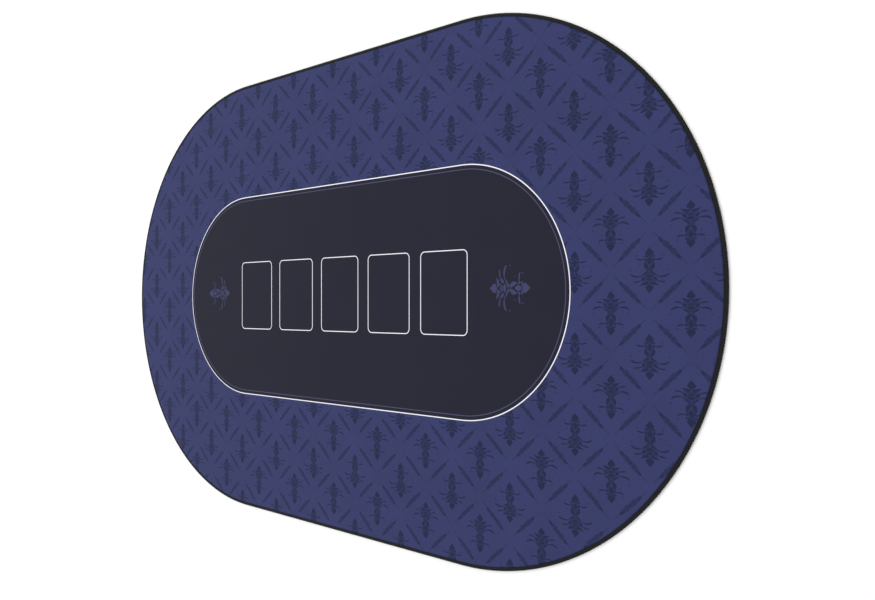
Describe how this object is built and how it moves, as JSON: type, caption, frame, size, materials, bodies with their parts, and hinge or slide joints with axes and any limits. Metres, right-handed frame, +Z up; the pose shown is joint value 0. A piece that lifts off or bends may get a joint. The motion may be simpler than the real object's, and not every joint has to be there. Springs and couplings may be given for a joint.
{
  "type": "poker table top mat",
  "caption": "Racetrack-shaped poker table top of printed cloth on foam rubber with a sewn edge, lying flat, with wings that fold over the centre.",
  "frame": {"origin": "middle of the underside, on the surface that the mat lies on", "axes": "+X along the length, +Y towards the back long edge, +Z up out of the playing face"},
  "size_m": [1, 0.6, 0.003],
  "materials": {
    "printed_cloth": "matt printed knit, navy damask border round a near-black field with white lines",
    "glue_film": "thin clear glue film",
    "foam_rubber": "black closed-cell foam rubber with a fine anti-slip texture",
    "edge_thread": "black twisted polyester thread, overlocked"
  },
  "bodies": {
    "left_wing": {"rubber_left_wing": "foam_rubber", "film_left_wing": "glue_film", "cloth_left_wing": "printed_cloth", "needle_thread_left_wing": "edge_thread", "upper_looper_left_wing": "edge_thread", "lower_looper_left_wing": "edge_thread"},
    "left_fold": {"rubber_left_fold": "foam_rubber", "film_left_fold": "glue_film", "cloth_left_fold": "printed_cloth", "needle_thread_left_fold_front": "edge_thread", "needle_thread_left_fold_back": "edge_thread", "upper_looper_left_fold_front": "edge_thread", "upper_looper_left_fold_back": "edge_thread", "lower_looper_left_fold_front": "edge_thread", "lower_looper_left_fold_back": "edge_thread"},
    "centre": {"rubber_centre": "foam_rubber", "film_centre": "glue_film", "cloth_centre": "printed_cloth", "needle_thread_centre_front": "edge_thread", "needle_thread_centre_back": "edge_thread", "upper_looper_centre_front": "edge_thread", "upper_looper_centre_back": "edge_thread", "lower_looper_centre_front": "edge_thread", "lower_looper_centre_back": "edge_thread"},
    "right_fold": {"rubber_right_fold": "foam_rubber", "film_right_fold": "glue_film", "cloth_right_fold": "printed_cloth", "needle_thread_right_fold_front": "edge_thread", "needle_thread_right_fold_back": "edge_thread", "upper_looper_right_fold_front": "edge_thread", "upper_looper_right_fold_back": "edge_thread", "lower_looper_right_fold_front": "edge_thread", "lower_looper_right_fold_back": "edge_thread"},
    "right_wing": {"rubber_right_wing": "foam_rubber", "film_right_wing": "glue_film", "cloth_right_wing": "printed_cloth", "needle_thread_right_wing": "edge_thread", "upper_looper_right_wing": "edge_thread", "lower_looper_right_wing": "edge_thread"}
  },
  "joints": [
    {"name": "left_fold_inner", "type": "hinge", "parent": "centre", "child": "left_fold", "pos_m": [-0.172, 0, 0.0034], "axis": [0, 1, 0], "range_deg": [0, 90]},
    {"name": "left_fold_outer", "type": "hinge", "parent": "left_fold", "child": "left_wing", "pos_m": [-0.1751, 0, 0.0034], "axis": [0, 1, 0], "range_deg": [0, 90]},
    {"name": "right_fold_inner", "type": "hinge", "parent": "centre", "child": "right_fold", "pos_m": [0.172, 0, 0.0034], "axis": [0, -1, 0], "range_deg": [0, 90]},
    {"name": "right_fold_outer", "type": "hinge", "parent": "right_fold", "child": "right_wing", "pos_m": [0.179, 0, 0.0034], "axis": [0, -1, 0], "range_deg": [0, 90]}
  ],
  "couplings": [
    {"joint": "left_fold_outer", "follows": "left_fold_inner", "ratio": 1},
    {"joint": "right_fold_outer", "follows": "right_fold_inner", "ratio": 1}
  ]
}
